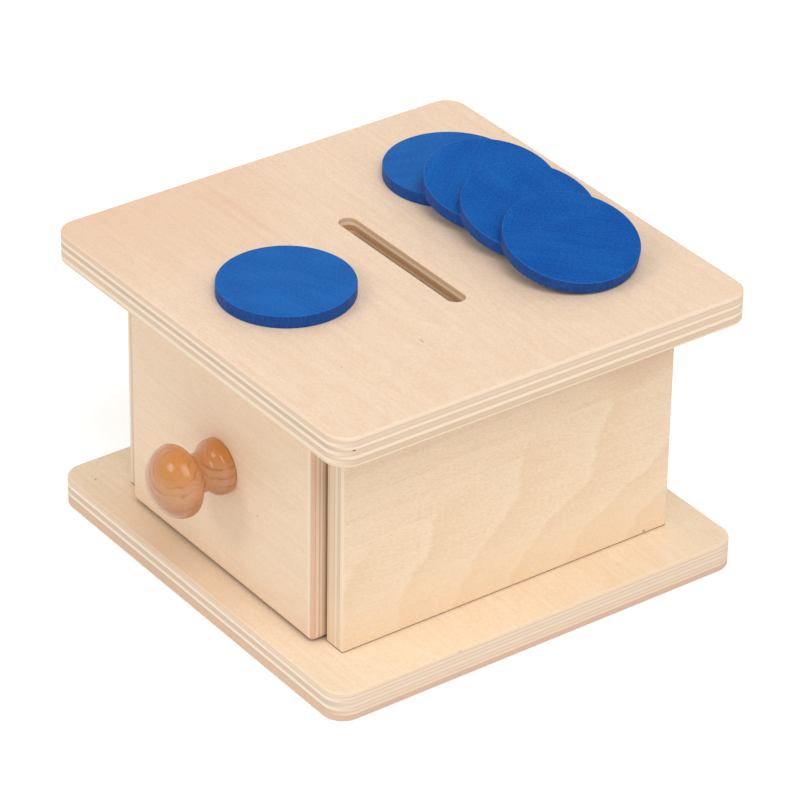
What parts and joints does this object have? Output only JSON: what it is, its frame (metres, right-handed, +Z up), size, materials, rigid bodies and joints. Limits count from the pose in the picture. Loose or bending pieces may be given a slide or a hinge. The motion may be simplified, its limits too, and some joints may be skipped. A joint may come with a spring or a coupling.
{
  "type": "object permanence coin box",
  "caption": "Plywood coin box with a slotted top board, a knobbed drawer that catches what is posted, and loose blue wooden coins lying on the top.",
  "frame": {"origin": "middle of the base board's underside", "axes": "+Z up, +X along the drawer front to the right as seen facing the drawer, +Y from the drawer to the back"},
  "size_m": [0.178, 0.1945, 0.1314],
  "materials": {
    "plywood": "sanded pale plywood, matt",
    "thin_plywood": "sanded thin plywood, matt",
    "turned_wood": "varnished, satin gloss",
    "dowel_wood": "raw",
    "blue_stain": "blue stain, satin",
    "steel": "zinc plated"
  },
  "bodies": {
    "case": {"base_board": "plywood", "left_wall": "plywood", "right_wall": "plywood", "back_wall": "plywood", "top_board": "plywood", "wall_screw_1": "steel", "wall_screw_2": "steel", "wall_screw_3": "steel", "wall_screw_4": "steel", "wall_screw_5": "steel", "wall_screw_6": "steel", "top_dowel_1": "dowel_wood", "top_dowel_2": "dowel_wood", "top_dowel_3": "dowel_wood", "top_dowel_4": "dowel_wood", "top_dowel_5": "dowel_wood", "top_dowel_6": "dowel_wood"},
    "drawer": {"drawer_front": "plywood", "drawer_left_side": "thin_plywood", "drawer_right_side": "thin_plywood", "drawer_back": "thin_plywood", "drawer_floor": "thin_plywood", "knob": "turned_wood", "knob_screw": "steel"},
    "coin_1": {"coin_1": "blue_stain"},
    "coin_2": {"coin_2": "blue_stain"},
    "coin_3": {"coin_3": "blue_stain"},
    "coin_4": {"coin_4": "blue_stain"},
    "coin_5": {"coin_5": "blue_stain"}
  },
  "joints": [
    {"name": "drawer_slide", "type": "slide", "parent": "case", "child": "drawer", "axis": [0, -1, 0], "range_m": [0, 0.1]},
    {"name": "coin_1_lift", "type": "slide", "parent": "case", "child": "coin_1", "axis": [0, 0, 1], "range_m": [0, 0.06]},
    {"name": "coin_2_lift", "type": "slide", "parent": "case", "child": "coin_2", "axis": [0, 0, 1], "range_m": [0, 0.06]},
    {"name": "coin_3_lift", "type": "slide", "parent": "coin_2", "child": "coin_3", "axis": [0, 0, 1], "range_m": [0, 0.06]},
    {"name": "coin_4_lift", "type": "slide", "parent": "coin_3", "child": "coin_4", "axis": [0, 0, 1], "range_m": [0, 0.06]},
    {"name": "coin_5_lift", "type": "slide", "parent": "coin_4", "child": "coin_5", "axis": [0, 0, 1], "range_m": [0, 0.06]}
  ]
}
